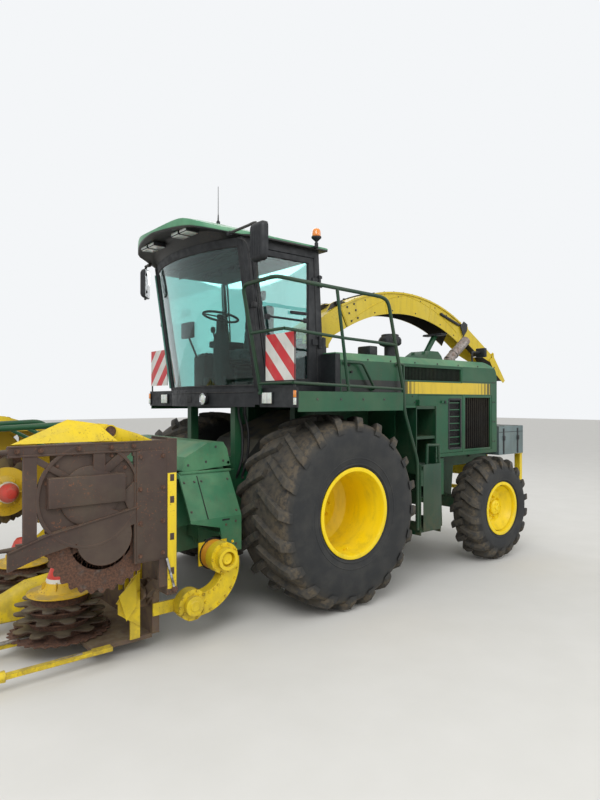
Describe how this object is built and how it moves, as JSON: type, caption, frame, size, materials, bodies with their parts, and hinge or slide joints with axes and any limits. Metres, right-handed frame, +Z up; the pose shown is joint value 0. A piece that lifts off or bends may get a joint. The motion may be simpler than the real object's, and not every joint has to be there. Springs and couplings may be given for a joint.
{
  "type": "forage harvester",
  "caption": "Self-propelled forage harvester with cab, turning spout, rear-wheel steering and a folding row-independent maize header with toothed rotors.",
  "frame": {"origin": "on the ground under the middle of the bounding box, between the front crop points and the tip of the parked spout", "axes": "+X points forward to the header, +Y to the machine's left (the ladder side), +Z up"},
  "size_m": [7.8534, 3, 4.18],
  "materials": {
    "body_green": "semi-gloss, weathered",
    "pale_green": "satin, faded",
    "step_green": "semi-gloss",
    "rim_yellow": "semi-gloss",
    "spout_yellow": "satin, worn",
    "header_yellow": "semi-gloss, worn",
    "primer_brown": "matte",
    "black": "matte",
    "glass": "clear, tinted",
    "tyre": "matte, dusty",
    "steel": "worn",
    "cast_grey": "matte",
    "grey": "satin",
    "interior": "matte",
    "board": "reflective",
    "rod": "polished",
    "grille": "matte"
  },
  "bodies": {
    "chassis": {"main_frame": "body_green", "front_axle": "body_green", "rear_axle": "body_green", "drive_train": "cast_grey", "body_panels": "body_green", "deck": "pale_green", "side_grilles": "grille", "platform": "body_green", "handrails": "body_green", "ladder": "step_green", "fuel_tank": "body_green", "cab_base": "black", "cab_frame": "black", "cab_roof": "pale_green", "cab_glass": "glass", "cab_interior": "interior", "mirrors": "black", "warning_boards": "board", "lamps": "black", "deck_fittings": "black", "rear_box": "grey", "hitch": "header_yellow"},
    "header": {"feed_housing": "pale_green", "drive_case": "header_yellow", "header_frame": "primer_brown", "crop_points": "header_yellow", "push_bar": "body_green"},
    "side_door_left": {"side_door_left": "body_green"},
    "side_door_right": {"side_door_right": "body_green"},
    "cab_door": {"cab_door": "black", "door_glass": "glass"},
    "turret": {"turret": "spout_yellow"},
    "spout": {"spout": "spout_yellow"},
    "flap_inner": {"flap_inner": "spout_yellow"},
    "flap_outer": {"flap_outer": "spout_yellow"},
    "feed_roll_upper": {"feed_roll_upper": "steel"},
    "feed_roll_lower": {"feed_roll_lower": "steel"},
    "wing_left": {"wing_left": "primer_brown"},
    "wing_right": {"wing_right": "primer_brown"},
    "rotor_inner_left": {"rotor_inner_left": "spout_yellow"},
    "rotor_inner_right": {"rotor_inner_right": "spout_yellow"},
    "rotor_outer_left": {"rotor_outer_left": "spout_yellow"},
    "rotor_outer_right": {"rotor_outer_right": "spout_yellow"},
    "lift_barrels": {"lift_barrels": "black"},
    "lift_rods": {"lift_rods": "rod"},
    "front_wheel_left": {"front_tyre_left": "tyre", "front_rim_left": "rim_yellow"},
    "front_wheel_right": {"front_tyre_right": "tyre", "front_rim_right": "rim_yellow"},
    "rear_wheel_left": {"rear_tyre_left": "tyre", "rear_rim_left": "rim_yellow"},
    "rear_wheel_right": {"rear_tyre_right": "tyre", "rear_rim_right": "rim_yellow"},
    "knuckle_left": {"knuckle_left": "cast_grey"},
    "knuckle_right": {"knuckle_right": "cast_grey"},
    "steering_rod": {"steering_rod": "cast_grey"}
  },
  "joints": [
    {"name": "front_wheel_left_spin", "type": "hinge", "parent": "chassis", "child": "front_wheel_left", "pos_m": [0.65124, 1.115, 0.915], "axis": [0, 1, 0], "continuous": true},
    {"name": "front_wheel_right_spin", "type": "hinge", "parent": "chassis", "child": "front_wheel_right", "pos_m": [0.65124, -1.115, 0.915], "axis": [0, 1, 0], "continuous": true},
    {"name": "steer_left", "type": "hinge", "parent": "chassis", "child": "knuckle_left", "pos_m": [-2.04876, 0.9, 0.635], "axis": [0, 0, 1], "range_deg": [-35, 35]},
    {"name": "steer_right", "type": "hinge", "parent": "chassis", "child": "knuckle_right", "pos_m": [-2.04876, -0.9, 0.635], "axis": [0, 0, 1], "range_deg": [-35.1, 35.1]},
    {"name": "steering_rod_slide", "type": "slide", "parent": "chassis", "child": "steering_rod", "axis": [0, 1, 0], "range_m": [-0.118, 0.118]},
    {"name": "rear_wheel_left_spin", "type": "hinge", "parent": "knuckle_left", "child": "rear_wheel_left", "pos_m": [-2.04876, 1.14, 0.635], "axis": [0, 1, 0], "continuous": true},
    {"name": "rear_wheel_right_spin", "type": "hinge", "parent": "knuckle_right", "child": "rear_wheel_right", "pos_m": [-2.04876, -1.14, 0.635], "axis": [0, 1, 0], "continuous": true},
    {"name": "cab_door_hinge", "type": "hinge", "parent": "chassis", "child": "cab_door", "pos_m": [0.58924, 0.895, 2.86], "axis": [0, 0, 1], "range_deg": [0, 38]},
    {"name": "side_door_left_hinge", "type": "hinge", "parent": "chassis", "child": "side_door_left", "pos_m": [-0.70076, 1.118, 1.69], "axis": [0, 0, -1], "range_deg": [0, 85]},
    {"name": "side_door_right_hinge", "type": "hinge", "parent": "chassis", "child": "side_door_right", "pos_m": [-0.70076, -1.118, 1.69], "axis": [0, 0, 1], "range_deg": [0, 85]},
    {"name": "spout_turn", "type": "hinge", "parent": "chassis", "child": "turret", "pos_m": [0.01124, 0, 2.46], "axis": [0, 0, 1], "range_deg": [-100, 100]},
    {"name": "spout_lift", "type": "hinge", "parent": "turret", "child": "spout", "pos_m": [-0.36114, 0, 3.15608], "axis": [0, 1, 0], "range_deg": [0, 20]},
    {"name": "flap_inner_hinge", "type": "hinge", "parent": "spout", "child": "flap_inner", "pos_m": [-2.92281, 0, 3.05593], "axis": [0, 1, 0], "range_deg": [-15, 20]},
    {"name": "flap_outer_hinge", "type": "hinge", "parent": "flap_inner", "child": "flap_outer", "pos_m": [-3.58799, 0, 2.68806], "axis": [0, 1, 0], "range_deg": [-15.1, 20.1]},
    {"name": "header_lift", "type": "hinge", "parent": "chassis", "child": "header", "pos_m": [1.27124, 0, 1], "axis": [0, -1, 0], "range_deg": [-1.5, 14]},
    {"name": "lift_barrel_swing", "type": "hinge", "parent": "chassis", "child": "lift_barrels", "pos_m": [0.95124, 0, 0.62], "axis": [0, -1, 0], "range_deg": [-1.5, 8.5]},
    {"name": "lift_rod_slide", "type": "slide", "parent": "lift_barrels", "child": "lift_rods", "axis": [0.9988, 0, 0.0499], "range_m": [-0.014, 0.086]},
    {"name": "wing_left_fold", "type": "hinge", "parent": "header", "child": "wing_left", "pos_m": [2.56624, 1.12, 0.48], "axis": [-1, 0, 0], "range_deg": [0, 90]},
    {"name": "wing_right_fold", "type": "hinge", "parent": "header", "child": "wing_right", "pos_m": [2.56624, -1.12, 0.48], "axis": [1, 0, 0], "range_deg": [0, 90.1]},
    {"name": "rotor_inner_left_spin", "type": "hinge", "parent": "header", "child": "rotor_inner_left", "pos_m": [3.05124, 0.56, 0.3], "axis": [0, 0, 1], "continuous": true},
    {"name": "rotor_inner_right_spin", "type": "hinge", "parent": "header", "child": "rotor_inner_right", "pos_m": [3.05124, -0.56, 0.3], "axis": [0, 0, 1], "continuous": true},
    {"name": "rotor_outer_left_spin", "type": "hinge", "parent": "wing_left", "child": "rotor_outer_left", "pos_m": [3.05124, 1.3, 1.04], "axis": [0, 1, 0], "continuous": true},
    {"name": "rotor_outer_right_spin", "type": "hinge", "parent": "wing_right", "child": "rotor_outer_right", "pos_m": [3.05124, -1.3, 1.04], "axis": [0, 1, 0], "continuous": true},
    {"name": "feed_roll_lower_spin", "type": "hinge", "parent": "header", "child": "feed_roll_lower", "pos_m": [2.03124, 0, 0.7], "axis": [0, 1, 0], "continuous": true},
    {"name": "feed_roll_upper_spin", "type": "hinge", "parent": "header", "child": "feed_roll_upper", "pos_m": [2.03124, 0, 0.985], "axis": [0, 1, 0], "continuous": true}
  ],
  "couplings": [
    {"joint": "steer_right", "follows": "steer_left", "ratio": 1},
    {"joint": "steering_rod_slide", "follows": "steer_left", "m_per_rad": -0.1878},
    {"joint": "flap_outer_hinge", "follows": "flap_inner_hinge", "ratio": 1},
    {"joint": "lift_barrel_swing", "follows": "header_lift", "ratio": 0.5699},
    {"joint": "lift_rod_slide", "follows": "header_lift", "m_per_rad": 0.3387},
    {"joint": "wing_right_fold", "follows": "wing_left_fold", "ratio": 1},
    {"joint": "feed_roll_upper_spin", "follows": "feed_roll_lower_spin", "ratio": -1}
  ]
}
